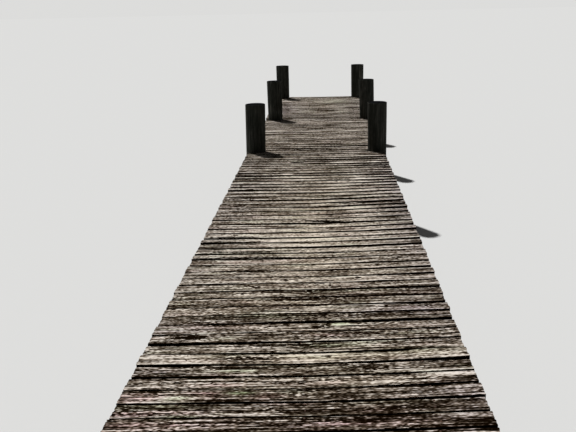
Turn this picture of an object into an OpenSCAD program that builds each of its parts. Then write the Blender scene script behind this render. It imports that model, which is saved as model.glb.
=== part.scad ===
// Timber jetty: a narrow boarded deck carried by pairs of round piles.
// X runs across the deck, Y runs out along it to the head, and Z is up.
// The origin lies under the middle of the deck, at the level of the pile feet.
// Bents, the rows of two piles, are counted from the land end. Sizes are in millimetres.

/* [Layout] */
// Number of bays between bents
bays = 5; // [1:1:6]
// Length of a bay, between the middles of two bents
bay_l = 2438; // [1800:1:3600]
// Height of the top of the deck above the pile feet
deck_h = 760; // [600:5:1500]
// Number of bents, counted back from the head, whose piles rise above the deck
head_bents = 3; // [0:1:7]
// How much of the unevenness of hand work to keep: at 0 everything stands true and square
wander = 1; // [0:0.1:1.2]

/* [Deck boards] */
// Width of the deck, which is the length of a board
deck_w = 1524; // [1200:1:2400]
// Width of one board
board_w = 92; // [60:1:200]
// Thickness of one board
board_t = 38; // [20:1:60]
// Gap wanted between two boards, before the boards are shared out evenly
board_gap = 15; // [6:1:30]
// Share of the gap that two neighbours may close at their ends, because they lie a little askew
gap_play = 0.55; // [0:0.05:0.7]
// How far the ends of the boards stagger in and out of a straight edge
end_stagger = 4; // [0:1:20]
// How far the end boards stand past the outermost cross beams
deck_lip = 5; // [0:1:60]
// Space left round a pile where the boards are cut for it
notch_clearance = 6; // [2:1:20]

/* [Piles] */
// Diameter of a pile at the top of the deck
pile_d = 208; // [150:1:320]
// Growth of the diameter in each metre of height, as a tree driven tip down
pile_taper = 10; // [0:1:20]
// How far the outer face of a pile stands past the edge of the deck
pile_proud = 12; // [-40:1:60]
// Height above the deck of the first pair of piles that rises past it
post_h = 539; // [100:1:1200]
// How much taller each further pair is, towards the head
post_step = 16; // [0:1:60]

/* [Cross beams] */
// Thickness of each of the two planks that clasp a pair of piles
beam_t = 38; // [25:1:75]
// Depth of a cross beam
beam_h = 184; // [120:1:250]
// How far the ends of a cross beam stand past the edge of the deck
beam_reach = 88; // [40:1:300]
// Depth of the flat seat cut into a pile for each cross beam
dap_depth = 25; // [10:1:45]

/* [Stringers] */
// Thickness of a stringer
stringer_t = 38; // [25:1:75]
// Depth of a stringer
stringer_h = 184; // [120:1:250]
// How far a stringer runs past the middle of a bent, to lap beside the next one
stringer_lap = 305; // [200:1:600]
// Space beside a stringer where a pile is cut back to let it pass
pass_clearance = 2; // [1:1:10]

/* [Hidden] */
$fn = 96;
bents = bays + 1;
SIDES = ["left", "middle", "right"];
PILE_SIDES = ["left", "right"];
FACES = ["inner", "outer"];

// Unevenness of each bent, listed from the head back towards the land
BENT_SHIFT = [0, -70, 0, 0, 0, 0, 0];
// How far each pile stands outside its true place
OUT_SHIFT = [[-21, 11], [-56, 39], [11, 15], [4, 2], [6, -8], [-4, 10], [0, 5]];
// Lean of each pile across the deck, in degrees, with its top towards +X
CROSS_LEAN = [[-0.1, 0], [-0.1, -1.2], [1.3, -0.2], [0.5, 0.4], [-0.6, 0.5], [0.3, -0.7], [0.2, 0.3]];
// Lean of each pile along the deck, in degrees, with its top towards the head
LONG_LEAN = [[0.3, -0.3], [-0.4, 0.5], [0.4, 0.2], [-0.5, 0.4], [0.6, -0.4], [-0.3, 0.5], [0.2, -0.2]];

// Levels, from the top of the deck down
board_z = deck_h - board_t;
stringer_z = board_z - stringer_h;
beam_z = stringer_z - beam_h;

// Places across the deck
deck_edge = deck_w / 2;
pile_x = deck_edge + pile_proud - pile_d / 2;
stringer_x = pile_x - pile_d / 2 - stringer_t;
beam_l = 2 * (deck_edge + beam_reach);

// Places along the deck, measured from the middle of a bent
beam_seat = pile_d / 2 - dap_depth;
beam_outer = beam_seat + beam_t;
deck_l = bays * bay_l + 2 * (beam_outer + deck_lip);

// The boards share the deck's length evenly
boards = round((deck_l + board_gap) / (board_w + board_gap));
board_pitch = (deck_l - board_w) / (boards - 1);

// Colours of weathered decking, of dark piles and of the frame between them
BOARD_COLOUR = [0.47, 0.43, 0.39];
PILE_COLOUR = [0.13, 0.12, 0.11];
FRAME_COLOUR = [0.33, 0.29, 0.25];

// Position of a bent in the lists above, which start at the head
function from_head(b) = bents - b;

// A name's place in a list of two: -1 for the first and +1 for the second
function hand(name, list) = name == list[0] ? -1 : 1;

function bent_y(b) = (b - 1 - bays / 2) * bay_l + wander * BENT_SHIFT[from_head(b)];

function pile_at(b, side) =
    let (s = hand(side, PILE_SIDES), i = s < 0 ? 0 : 1)
    [s * (pile_x + wander * OUT_SHIFT[from_head(b)][i]), bent_y(b)];

function pile_lean(b, side) =
    let (i = hand(side, PILE_SIDES) < 0 ? 0 : 1)
    wander * [-LONG_LEAN[from_head(b)][i], CROSS_LEAN[from_head(b)][i], 0];

function rises(b) = from_head(b) < head_bents;

// Piles under the deck stop where the boards cross them
function pile_top(b) = rises(b) ? deck_h + post_h + post_step * (head_bents - 1 - from_head(b)) : board_z;

function board_y(i) = -deck_l / 2 + i * board_pitch;

// The bay that holds the middle of a board
function board_bay(i) =
    let (bay = floor((board_y(i) + board_w / 2) / bay_l + bays / 2) + 1)
    max(1, min(bays, bay));

// Values from -1 to 1, spread by the golden angle so that no two neighbours match
function spread(i) = sin(i * 137.5);

// Angle of a board off square: the first and last boards lie square
function askew(i) =
    let (most = atan(gap_play * (board_pitch - board_w) / 2 / deck_edge))
    i == 0 || i == boards - 1 ? 0 : wander * most * spread(i + 0.25);

// A tree trunk that leans about the point where it passes the top of the deck
module trunk(b, side, reach) {
    taper = pile_taper * reach / 1000;
    translate([pile_at(b, side)[0], pile_at(b, side)[1], deck_h])
        rotate(pile_lean(b, side))
            translate([0, 0, -reach])
                cylinder(h = 2 * reach, d1 = pile_d - taper, d2 = pile_d + taper);
}

// Everything between two levels, wider than any pile
module slab(b, side, low, high) {
    at = pile_at(b, side);
    translate([at[0] - pile_d, at[1] - pile_d, low])
        cube([2 * pile_d, 2 * pile_d, high - low]);
}

// The cuts that seat the two cross beams against a pile
module beam_daps(b, side) {
    at = pile_at(b, side);
    for (s = [-1, 1])
        translate([at[0] - pile_d, s > 0 ? at[1] + beam_seat : at[1] - beam_seat - pile_d, beam_z])
            cube([2 * pile_d, pile_d, beam_h]);
}

// The cut that lets the stringers pass a pile that stands in their way
module stringer_pass(b) {
    half = stringer_x + stringer_t + pass_clearance;
    translate([-half, bent_y(b) - pile_d, stringer_z])
        cube([2 * half, 2 * pile_d, stringer_h]);
}

// One pile, cut level at its foot and its top, with its seats
module pile(b, side) {
    color(PILE_COLOUR)
        difference() {
            intersection() {
                trunk(b, side, pile_top(b) + pile_d);
                slab(b, side, 0, pile_top(b));
            }
            beam_daps(b, side);
            stringer_pass(b);
        }
}

// One of the two planks that clasp a pair of piles, on the land side or the head side
module cross_beam(b, face) {
    s = hand(face, FACES);
    color(FRAME_COLOUR)
        translate([-beam_l / 2, bent_y(b) + (s > 0 ? beam_seat : -beam_outer), beam_z])
            cube([beam_l, beam_t, beam_h]);
}

// One stringer: it rests on the cross beams at both ends of its bay and laps beside the next
module stringer(bay, side) {
    line = side == "left" ? -stringer_x : side == "right" ? stringer_x : 0;
    near = bent_y(bay) - (bay == 1 ? beam_outer : stringer_lap);
    far = bent_y(bay + 1) + (bay == bays ? beam_outer : stringer_lap);
    color(FRAME_COLOUR)
        translate([bay % 2 == 0 ? line - stringer_t : line, near, stringer_z])
            cube([stringer_t, far - near, stringer_h]);
}

// One board, with its ends a little in or out of line
module board(i) {
    left = deck_edge + end_stagger * spread(i);
    right = deck_edge + end_stagger * spread(i + 0.5);
    translate([0, board_y(i) + board_w / 2, board_z])
        rotate(askew(i))
            translate([-left, -board_w / 2, 0])
                cube([left + right, board_w, board_t]);
}

// The space a pile needs through the boards, open to the edge of the deck
module board_notch(b, side) {
    r = pile_d / 2 + notch_clearance;
    at = pile_at(b, side);
    translate([at[0], at[1], board_z - notch_clearance]) {
        cylinder(h = board_t + 2 * notch_clearance, r = r);
        translate([side == "left" ? -pile_d : 0, -r, 0])
            cube([pile_d, 2 * r, board_t + 2 * notch_clearance]);
    }
}

// The boards of one bay, cut round the piles that come up through them
module deck_bay(bay) {
    color(BOARD_COLOUR)
        difference() {
            for (i = [0 : boards - 1])
                if (board_bay(i) == bay) board(i);
            for (b = [bay, bay + 1], side = PILE_SIDES)
                if (rises(b)) board_notch(b, side);
        }
}

for (b = [1 : bents], side = PILE_SIDES)
    pile(b, side);
for (b = [1 : bents], face = FACES)
    cross_beam(b, face);
for (bay = [1 : bays], side = SIDES)
    stringer(bay, side);
for (bay = [1 : bays])
    deck_bay(bay);
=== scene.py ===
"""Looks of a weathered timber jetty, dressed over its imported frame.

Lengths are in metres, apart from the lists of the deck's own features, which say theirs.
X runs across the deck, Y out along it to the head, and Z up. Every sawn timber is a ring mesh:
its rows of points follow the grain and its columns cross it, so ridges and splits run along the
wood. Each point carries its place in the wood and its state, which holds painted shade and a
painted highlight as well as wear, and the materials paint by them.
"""

import math
from types import SimpleNamespace

import bmesh
import bpy
import numpy as np
from mathutils import Matrix, Vector


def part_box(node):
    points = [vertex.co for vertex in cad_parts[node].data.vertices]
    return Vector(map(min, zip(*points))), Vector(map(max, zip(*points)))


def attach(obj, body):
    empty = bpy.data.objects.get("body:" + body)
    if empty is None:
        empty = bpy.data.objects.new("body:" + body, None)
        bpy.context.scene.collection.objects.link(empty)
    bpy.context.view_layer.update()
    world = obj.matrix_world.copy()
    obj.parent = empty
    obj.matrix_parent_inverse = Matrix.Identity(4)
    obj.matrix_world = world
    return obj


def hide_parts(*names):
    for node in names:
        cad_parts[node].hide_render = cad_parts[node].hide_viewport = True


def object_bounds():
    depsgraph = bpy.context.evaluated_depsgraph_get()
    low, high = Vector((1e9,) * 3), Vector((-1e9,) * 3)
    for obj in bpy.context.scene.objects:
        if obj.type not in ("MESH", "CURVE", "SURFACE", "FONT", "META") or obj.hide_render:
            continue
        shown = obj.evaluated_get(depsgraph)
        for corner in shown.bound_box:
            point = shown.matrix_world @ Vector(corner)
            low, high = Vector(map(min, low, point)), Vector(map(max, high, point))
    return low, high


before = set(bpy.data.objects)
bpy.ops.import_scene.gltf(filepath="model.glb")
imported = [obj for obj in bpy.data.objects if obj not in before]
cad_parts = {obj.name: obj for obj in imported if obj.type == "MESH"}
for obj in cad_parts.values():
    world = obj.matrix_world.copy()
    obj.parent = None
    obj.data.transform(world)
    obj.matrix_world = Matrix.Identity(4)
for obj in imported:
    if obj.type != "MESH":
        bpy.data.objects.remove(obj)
cad_low, cad_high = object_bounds()

# Layout of the jetty, as its nodes are named
BAYS = 5
BENTS = BAYS + 1
HEAD_BENTS = 3
SIDES = ("left", "middle", "right")
PILE_SIDES = ("left", "right")
FACES = ("inner", "outer")
NOTCH_CLEARANCE = 0.006
PASS_CLEARANCE = 0.002

# The photograph's frame, and the camera that its deck edges and pile tops give
IMAGE_W = 576
IMAGE_CENTRE_X = 288
FOCAL_PX = 698
AXIS_PX = 302
SENSOR_MM = 36
EYE_HEIGHT = 1.5485
EYE_ASIDE = 0.1195
HEAD_DISTANCE = 12.737
PITCH = math.radians(16.59)
YAW = math.radians(2.16)
ROLL = -0.0225

# Direction in which the key light travels, from the pile shadows, and the level of the lights
LIGHT_RUN = (0.21, -0.31, -0.54)
KEY_STRENGTH = 3.62
KEY_SOFTNESS = math.radians(2)
FILL_LEVEL = 0.07
PALE = (0.72, 0.72, 0.71)
FLOOR_SIZE = 700

# How the deck has settled, in millimetres above its true level: at places along it, given by
# y in metres, the height of its left edge, its middle and its right edge
HALF_DECK = 0.762
EDGE_CURVE = 1.25
LEVELS = (
    (-6.00, 0, 0, 12), (-4.20, -16, -6, 20), (-4.00, -18, -8, 22), (-3.80, -15, -8, 24), (-3.60, -12, -8, 25),
    (-3.40, -15, 1, 24), (-3.20, -17, 0, 19), (-2.90, -12, 3, 19), (-2.50, -9, -5, 17), (-2.00, -11, -8, 17),
    (-1.65, -11, -7, 17), (-1.20, -2, -1, 25), (-0.60, 5, 4, 22), (0.05, 15, 10, 14), (0.60, 13, 5, 7),
    (1.20, 8, 0, 5), (6.00, 8, 0, 5),
)

# Where the seeds of the random draws start for each kind of thing
SEEDS = {
    "gaps": 11, "boards": 100, "nails": 500, "bolts": 700, "piles": 900, "stringers": 2000,
    "beams": 3000,
}


# Noise

HASH = (374761393, 668265263, 974634777, 1274126177)


def lattice(ix, iy, seed):
    """Repeatable values from -1 to 1 at whole-number places."""
    h = (ix * HASH[0] + iy * HASH[1] + seed * HASH[2]) & 0xFFFFFFFF
    h = ((h ^ (h >> 13)) * HASH[3]) & 0xFFFFFFFF
    h ^= h >> 16
    return h / 0x7FFFFFFF - 1.0


def noise(x, y, seed=0):
    """Smooth values from -1 to 1, with a bump about one unit long each way."""
    x, y = np.broadcast_arrays(np.asarray(x, float), np.asarray(y, float))
    ix, iy = np.floor(x).astype(np.int64), np.floor(y).astype(np.int64)
    fx, fy = x - ix, y - iy
    fx, fy = fx * fx * (3 - 2 * fx), fy * fy * (3 - 2 * fy)
    low = lattice(ix, iy, seed) * (1 - fx) + lattice(ix + 1, iy, seed) * fx
    high = lattice(ix, iy + 1, seed) * (1 - fx) + lattice(ix + 1, iy + 1, seed) * fx
    return low * (1 - fy) + high * fy


def bump(x, middle, reach):
    """A smooth hump of height 1 that is gone at reach from its middle."""
    u = np.clip(1 - ((x - middle) / reach) ** 2, 0, 1)
    return u * u


def smooth(x, low, high):
    """0 at low and 1 at high, smooth between them and level beyond them."""
    t = np.clip((np.asarray(x, float) - low) / (high - low), 0, 1)
    return t * t * (3 - 2 * t)


def settled(x, y):
    """How far the deck stands above its true level at a place."""
    places, *edges = zip(*LEVELS)
    left, middle, right = (np.interp(y, places, levels) / 1000 for levels in edges)
    rightward, leftward = (np.clip(way * x / HALF_DECK, 0, 1) ** EDGE_CURVE for way in (1, -1))
    return middle + (right - middle) * rightward + (left - middle) * leftward


# Meshes

SHARP_ANGLE = math.radians(38)


def new_object(name, data):
    """An object in the scene, made of some data."""
    made = bpy.data.objects.new(name, data)
    bpy.context.scene.collection.objects.link(made)
    return made


def mesh_piece(name, points, faces, material_index, materials, attributes, corner_uv=None):
    """An object from arrays. Attributes are vectors on its points."""
    mesh = bpy.data.meshes.new(name)
    mesh.from_pydata(np.asarray(points).tolist(), [], faces)
    for key, values in attributes.items():
        layer = mesh.attributes.new(key, "FLOAT_VECTOR", "POINT")
        layer.data.foreach_set("vector", np.asarray(values, np.float32).ravel())
    if corner_uv is not None:
        layer = mesh.uv_layers.new(name="OFBake")
        layer.data.foreach_set("uv", np.asarray(corner_uv, np.float32).ravel())
    for material in materials:
        mesh.materials.append(material)
    mesh.polygons.foreach_set("material_index", np.asarray(material_index, np.int32))
    mesh.shade_smooth()
    mesh.set_sharp_from_angle(angle=SHARP_ANGLE)
    return new_object(name, mesh)


def dress(piece, slot, *nodes):
    """Hands a finished piece to the frame, in place of its CAD nodes."""
    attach(piece, "root")
    if nodes:
        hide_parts(*nodes)


def band(low, high):
    """Faces between two rings of points, each a list that closes on itself."""
    return list(zip(low, low[1:] + low[:1], high[1:] + high[:1], high))


def turned_stack(profile, sides, spin=0.0):
    """Points and faces of a stack of rings about Z, closed at both ends. Profile lists (radius, z)."""
    turn = np.linspace(0, 2 * math.pi, sides, endpoint=False) + spin
    points = [(r * math.cos(a), r * math.sin(a), z) for r, z in profile for a in turn]
    rings = [list(range(k * sides, (k + 1) * sides)) for k in range(len(profile))]
    faces = [face for low, high in zip(rings, rings[1:]) for face in band(low, high)]
    return points, faces + [rings[0][::-1], rings[-1]]


def add_part(points, faces, part_points, part_faces):
    """Adds one part's points and faces to a piece's lists."""
    first = len(points)
    points.extend(part_points)
    faces.extend([first + v for v in face] for face in part_faces)


class Ring:
    """The rows round a kind of sawn timber, and the faces between them.

    The first rows cross the face from its near edge to its far edge, and the rest come back
    across the back. Both crowd at the arrises, which are worn round.
    """

    ARRIS = (0.0, 0.010, 0.024, 0.044)
    # Places in the unrolled picture of one timber: top of its face, foot and height of its back,
    # left and right of both, and how far in from the sides the ends' back rows lie
    FACE_TOP, BACK_FOOT, BACK_TALL = 0.62, 0.70, 0.22
    LEFT, RIGHT, END_IN = 0.03, 0.97, 0.024

    def __init__(self, face_rows, back_rows, columns):
        self.face, self.back = self.across(face_rows), self.across(back_rows)
        self.share = np.concatenate([self.face, self.back[::-1]])
        self.is_back = np.arange(len(self.share)) >= len(self.face)
        self.rows, self.columns = len(self.share), columns
        self.faces, self.corner_uv, self.end_faces = self.connect()

    def across(self, count):
        """Shares of the width from 0 to 1, with extra rows at both arrises."""
        edge = np.array(self.ARRIS)
        inner = np.linspace(edge[-1], 1 - edge[-1], count - 2 * len(edge) + 2)
        return np.concatenate([edge[:-1], inner, 1 - edge[-2::-1]])

    def connect(self):
        """Faces, their corners in the picture, and how many of them close the ends."""
        columns = self.columns
        back = self.BACK_FOOT + self.BACK_TALL * (1 - self.share[len(self.face):])
        tall = np.concatenate([self.face * self.FACE_TOP, back, [1.0]])
        wide = np.linspace(self.LEFT, self.RIGHT, columns)
        faces, uv = [], []
        for r in range(self.rows):
            low, high = r * columns, (r + 1) % self.rows * columns
            for c in range(columns - 1):
                faces.append((low + c, low + c + 1, high + c + 1, high + c))
                uv += [(wide[c], tall[r]), (wide[c + 1], tall[r])]
                uv += [(wide[c + 1], tall[r + 1]), (wide[c], tall[r + 1])]
        ends = self.end_triangles()
        for column in (0, columns - 1):
            for corners in ends:
                corners = corners if column == 0 else corners[::-1]
                faces.append(tuple(r * columns + column for r in corners))
                for r in corners:
                    inward = self.END_IN * float(self.is_back[r])
                    uv.append((inward if column == 0 else 1 - inward, 0.01 + 0.98 * self.share[r]))
        return faces, np.array(uv), 2 * len(ends)

    def end_triangles(self):
        """Triangles between the face rows and the back rows, for the left end."""
        low = self.rows - 1
        i, j, made = 0, 0, []
        while i < len(self.face) - 1 or j < len(self.back) - 1:
            next_face = self.face[i + 1] if i < len(self.face) - 1 else math.inf
            next_back = self.back[j + 1] if j < len(self.back) - 1 else math.inf
            if next_face <= next_back:
                made.append((i, i + 1, low - j))
                i += 1
            else:
                made.append((i, low - j - 1, low - j))
                j += 1
        return made


def spread_columns(count, length, knots):
    """Places along a timber, closer together at its ends and at its knots."""
    x = np.linspace(-length / 2, length / 2, 900)
    density = 1 + 2.2 * np.exp(-(((length / 2 - np.abs(x)) / 0.04) ** 2))
    for at, _, reach, _, _, _ in knots:
        if reach < 0.05:
            density += 3.0 * np.exp(-(((x - at) / (1.5 * reach)) ** 2))
    total = np.concatenate([[0], np.cumsum(density[1:] + density[:-1])])
    return np.interp(np.linspace(0, 1, count), total / total[-1], x)


def choose_splits(rng, rows, length, style):
    """Rows and stretches of the splits in one face, none beside another."""
    chosen = []
    for n in range(style.splits):
        row = int(rng.integers(len(Ring.ARRIS) + 1, rows - len(Ring.ARRIS) - 1))
        span = math.exp(rng.uniform(math.log(0.07), math.log(style.split_length)))
        middle = rng.choice([-1, 1]) * length / 2 if n % 3 == 0 else rng.uniform(-0.5, 0.5) * length
        size = rng.uniform(0.35, 1) * (1 if rng.random() < 0.75 else 1.7)
        if not any(abs(row - r) < 3 and abs(middle - m) < (span + s) / 2 + 0.02 for r, m, s, _ in chosen):
            chosen.append((row, middle, span, size))
    return chosen


class Timber:
    """One sawn timber in its own frame: x along it, y across its face, z out of its face.

    A knot is its x, y, half length, half width, tilt and depth. Dark ones have a depth above 0.
    """

    # Lengths along and across the grain of the face's relief
    RIDGE, FINE_RIDGE, HOLLOW = (0.42, 0.0068), (0.2, 0.0035), (0.3, 0.035)
    # How much flatter the back is than the face
    BACK_RELIEF = 0.35
    # Where the near arris is paler, a painted highlight and partly bleaching, and over what width
    BLEACH_AT, BLEACH_WIDE = 0.007, 0.0045

    def __init__(self, ring, style, size, rng, sides=None, ends=None, tips=None, marks=(), decay=1.0):
        self.ring, self.style, self.rng, self.decay = ring, style, rng, decay
        self.length, self.width, self.thick = size
        self.seed = int(rng.integers(1, 1 << 20))
        self.sides, self.ends, self.tips = sides, ends, tips
        self.knots = list(marks)
        for _ in range(rng.poisson(style.knots)):
            x, y = rng.uniform(-0.46, 0.46) * self.length, rng.uniform(-0.3, 0.3) * self.width
            radius = rng.uniform(*style.knot_radius)
            self.knots.append((x, y, 1.6 * radius, radius, rng.normal(0, 0.25), rng.uniform(0.5, 1)))
        self.place_rows()
        self.wear_face()
        self.open_splits()

    def place_rows(self):
        """Runs the rows along the wood, from one worn end to the other, and round its knots."""
        ring, seed, style = self.ring, self.seed, self.style
        share = ring.share[:, None]
        x = spread_columns(ring.columns, self.length, self.knots)
        t = (x + self.length / 2) / self.length
        wear = style.end_wear * (noise(ring.share * 9, 3.1, seed) + 0.6 * noise(ring.share * 23, 7.7, seed))
        left, right = -self.length / 2 + wear, self.length / 2 + wear[::-1]
        if self.ends:
            left_y, right_y = (self.between_sides(end, ring.share) for end in (left, right))
            left, right = self.ends(left_y, right_y, left, right)
        self.x = left[:, None] + (right - left)[:, None] * t[None, :]
        near, far = self.edge_line(11), self.edge_line(12)
        flow = np.sin(np.pi * share) * noise(self.x / 0.55, share * 1.6 + seed % 97, seed + 3)
        self.span = self.between_sides(self.x, 1.0) - self.between_sides(self.x, 0.0)
        self.y = self.between_sides(self.x, share) + style.flow * flow * self.width
        self.y += far * share - near * (1 - share)
        calm = np.sin(np.pi * share) ** 0.5
        for at, across, reach, radius, _, depth in self.knots:
            if depth > 0 and reach < 3 * radius:
                dy = self.y - across
                part = np.exp(-(((self.x - at) / (1.6 * reach)) ** 2) - (dy / (1.9 * radius)) ** 2)
                self.y += calm * dy * 0.7 * part

    def between_sides(self, x, share):
        """The y of a share of the way from the near side to the far side."""
        if self.sides is None:
            return (share - 0.5) * self.width + 0 * x
        near, far = (side(x) for side in self.sides)
        return near + (far - near) * share

    def edge_line(self, seed):
        """How far an edge stands out of its straight line: ragged, with a chip or two."""
        x, rng, style, seed = self.x, self.rng, self.style, self.seed + seed
        line = style.ragged * (noise(x / 0.11, 0.5, seed) + 0.5 * noise(x / 0.045, 1.5, seed))
        for _ in range(rng.poisson(style.chips)):
            at, reach = rng.uniform(-0.5, 0.5) * self.length, rng.uniform(0.03, 0.14)
            line = line - rng.uniform(0.002, 0.008) * bump(x, at, reach)
        return line

    def relief_noise(self, along, across, size, seed):
        return noise(along / size[0], across / size[1], self.seed + seed)

    def wear_face(self):
        """Rounds the arrises, dishes the faces and raises the grain."""
        ring, rng, style, seed = self.ring, self.rng, self.style, self.seed
        share, back = ring.share[:, None], ring.is_back[:, None]
        worn = style.arris * (1 + 0.7 * noise(self.x / 0.16, back * 5.0, seed + 21))
        inward = np.minimum(share, 1 - share) * self.span
        reach = np.clip(inward / worn, 0, 1)
        drop = worn * (1 - np.sqrt(1 - (1 - reach) ** 2))
        place = (self.x + seed % 89, share * self.width + back * 0.5)
        ridge = 0.6 * self.relief_noise(*place, self.RIDGE, 1)
        ridge += 0.4 * self.relief_noise(*place, self.FINE_RIDGE, 2)
        hollow = self.relief_noise(*place, self.HOLLOW, 4)
        cup = style.cup * rng.normal(0.8, 0.8) * ((2 * share - 1) ** 2 - 0.4)
        lie = rng.normal(0, style.lie) + rng.normal(0, style.roll) * (share - 0.5)
        if self.tips:
            near, far = (tip(self.x) for tip in self.tips)
            lie = lie + near * (1 - share) + far * share
        raised = (style.ridge * ridge + style.hollow * hollow) * np.clip(reach + 0.3, 0, 1)
        raised *= np.where(back, self.BACK_RELIEF, 1.0)
        self.z = np.where(back, -1.0, 1.0) * (self.thick / 2 - drop + raised) + cup + lie
        for knot in self.knots:
            u, v = self.knot_axes(knot)
            self.z -= np.where(back, 0, style.knot_sink * knot[5] * np.exp(-(u**2) - v**2))
        self.relief = np.clip(0.5 + 0.5 * ridge + 0.25 * hollow, 0, 1)
        # Painted shade: full on the narrow sides and fading in from the arrises, so the sides seen across the
        # gaps between boards are painted near black
        grime = 1 + 0.8 * noise(self.x / 0.12, share * 2 + back * 4.0, seed + 41)
        self.split = np.clip(1.1 - inward / (self.decay * style.grime * grime), 0, 1)

    def open_splits(self):
        """Opens the splits: their middle row sinks, and the rows beside it close up as lips."""
        self.cut_side(0, len(self.ring.face), 1.0)
        if self.style.back_splits:
            self.cut_side(len(self.ring.face), self.ring.rows, -1.0)

    def cut_side(self, first, last, out):
        """Opens the splits of the face or of the back."""
        style = self.style
        for row, middle, span, size in choose_splits(self.rng, last - first, self.length, style):
            row += first
            u = np.clip(1 - (2 * (self.x[row] - middle) / span) ** 2, 0, 1) ** 0.7
            open_share = u * np.clip(1 + 0.45 * noise(self.x[row] / 0.05, row, self.seed + 31), 0, 1.3)
            close = np.clip(open_share, 0, 1)
            depth, half = size * style.split_depth * open_share, size * style.split_half
            self.z[row] -= out * depth
            # The lips close in, and painted shade marks the opening: some on the lips, most in the middle row
            for step in (-1, 1):
                lip = self.y[row] + step * half * np.sign(self.y[first + 9] - self.y[first + 5])
                self.y[row + step] = self.y[row + step] * (1 - close) + lip * close
                self.z[row + step] -= out * 0.12 * depth
                self.split[row + step] = np.maximum(self.split[row + step], 0.3 * u)
            self.split[row] = np.maximum(self.split[row], np.clip(open_share * (0.6 + 0.4 * size), 0, 1))

    def points(self):
        return np.stack([self.x, self.y, self.z], -1).reshape(-1, 3)

    def wood(self, offset):
        """Each point's place in the wood, apart from that of every other timber."""
        out = np.where(self.ring.is_back, -0.5, 0.5)[:, None] * self.thick
        across = self.ring.share[:, None] * self.width + 1.7 * offset
        place = np.broadcast_arrays(self.x + 5.3 * offset, across, out)
        return np.stack(place, -1).reshape(-1, 3)

    def state(self, tone):
        """Relief, painted shade and tone of each point: paler along the near arris with a painted highlight
        and bleaching, mottled where decayed.
        """
        share, style = self.ring.share[:, None], self.style
        # Painted highlight, partly bleaching: a pale band just in from the near arris, beside the dark gap
        edge = np.exp(-(((share * self.span / self.decay - self.BLEACH_AT) / self.BLEACH_WIDE) ** 2))
        edge *= 0.7 + 0.6 * noise(self.x / 0.2, 4.2, self.seed)
        mottle = (self.decay - 1) * style.mottle * noise(self.x / 0.22, share * 1.2, self.seed + 51)
        tone = tone + style.bleach * self.decay * edge + mottle
        return np.stack([self.relief, self.split, tone], -1).reshape(-1, 3)

    def knot_place(self):
        """Each point's place from its nearest knot, in knot radii, and the knot's depth."""
        best = np.full(self.x.shape, 99.0)
        place = np.zeros(self.x.shape + (3,)) + (99.0, 99.0, 0.0)
        for knot in self.knots:
            u, v = self.knot_axes(knot)
            nearer = np.hypot(u, v) < best
            best = np.where(nearer, np.hypot(u, v), best)
            place = np.where(nearer[..., None], np.stack([u, v, np.full(u.shape, knot[5])], -1), place)
        return place.reshape(-1, 3)

    def knot_axes(self, knot):
        """Each point's place along and across a knot, in its half length and half width."""
        at, across, reach, radius, tilt, _ = knot
        dx, dy = self.x - at, self.y - across
        along, aside = dx * math.cos(tilt) + dy * math.sin(tilt), dy * math.cos(tilt) - dx * math.sin(tilt)
        return along / reach, aside / radius

    def top_at(self, x, y):
        """Height of the face nearest to a place."""
        face = slice(0, len(self.ring.face))
        gap = np.hypot(self.x[face] - x, 3 * (self.y[face] - y))
        return self.z[face].ravel()[np.argmin(gap)]


def join_timbers(name, timbers, placings, tones, tints, materials, uv_columns, lift=None):
    """One piece from many timbers of one ring, each in its own cell of the bake picture."""
    ring = timbers[0].ring
    size = ring.rows * ring.columns
    uv_rows = math.ceil(len(timbers) / uv_columns)
    points, faces, corner_uv, index = [], [], [], []
    attributes = {"wood": [], "state": [], "knot": [], "tint": []}
    for n, (timber, placing, tone, tint) in enumerate(zip(timbers, placings, tones, tints)):
        placed = timber.points() @ np.array(placing.to_3x3()).T + np.array(placing.translation)
        if lift:
            placed[:, 2] += lift(placed)
        points.append(placed)
        faces += [tuple(v + n * size for v in face) for face in ring.faces]
        cell = np.array([n % uv_columns, n // uv_columns])
        corner_uv.append((cell + 0.01 + 0.98 * ring.corner_uv) / (uv_columns, uv_rows))
        index += [0] * (len(ring.faces) - ring.end_faces) + [1] * ring.end_faces
        attributes["wood"].append(timber.wood(timber.seed % 53))
        attributes["state"].append(timber.state(tone))
        attributes["knot"].append(timber.knot_place())
        attributes["tint"].append(np.broadcast_to(tint, timber.x.shape + (3,)).reshape(-1, 3))
    attributes = {key: np.concatenate(values) for key, values in attributes.items()}
    corner_uv = np.concatenate(corner_uv)
    return mesh_piece(name, np.concatenate(points), faces, index, materials, attributes, corner_uv)


# Materials

def srgb(*levels):
    """A colour as it looks on screen, from 0 to 255, in the renderer's own units."""
    shares = [level / 255 for level in levels]
    return (*(c / 12.92 if c <= 0.04045 else ((c + 0.055) / 1.055) ** 2.4 for c in shares), 1.0)


class Nodes:
    """The nodes of a material or of the world, added one at a time."""

    def __init__(self, tree):
        self.tree = tree

    def node(self, kind, inputs, **settings):
        """One node with its settings and inputs."""
        node = self.tree.nodes.new("ShaderNode" + kind)
        for key, value in settings.items():
            setattr(node, key, value)
        for key, value in inputs.items():
            if isinstance(value, bpy.types.NodeSocket):
                self.tree.links.new(value, node.inputs[key])
            else:
                node.inputs[key].default_value = value
        return node

    def add(self, kind, inputs, output=0, **settings):
        """The socket that one new node gives."""
        return self.node(kind, inputs, **settings).outputs[output]

    def math(self, operation, a, b=0.0):
        return self.add("Math", {0: a, 1: b}, operation=operation)


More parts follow.
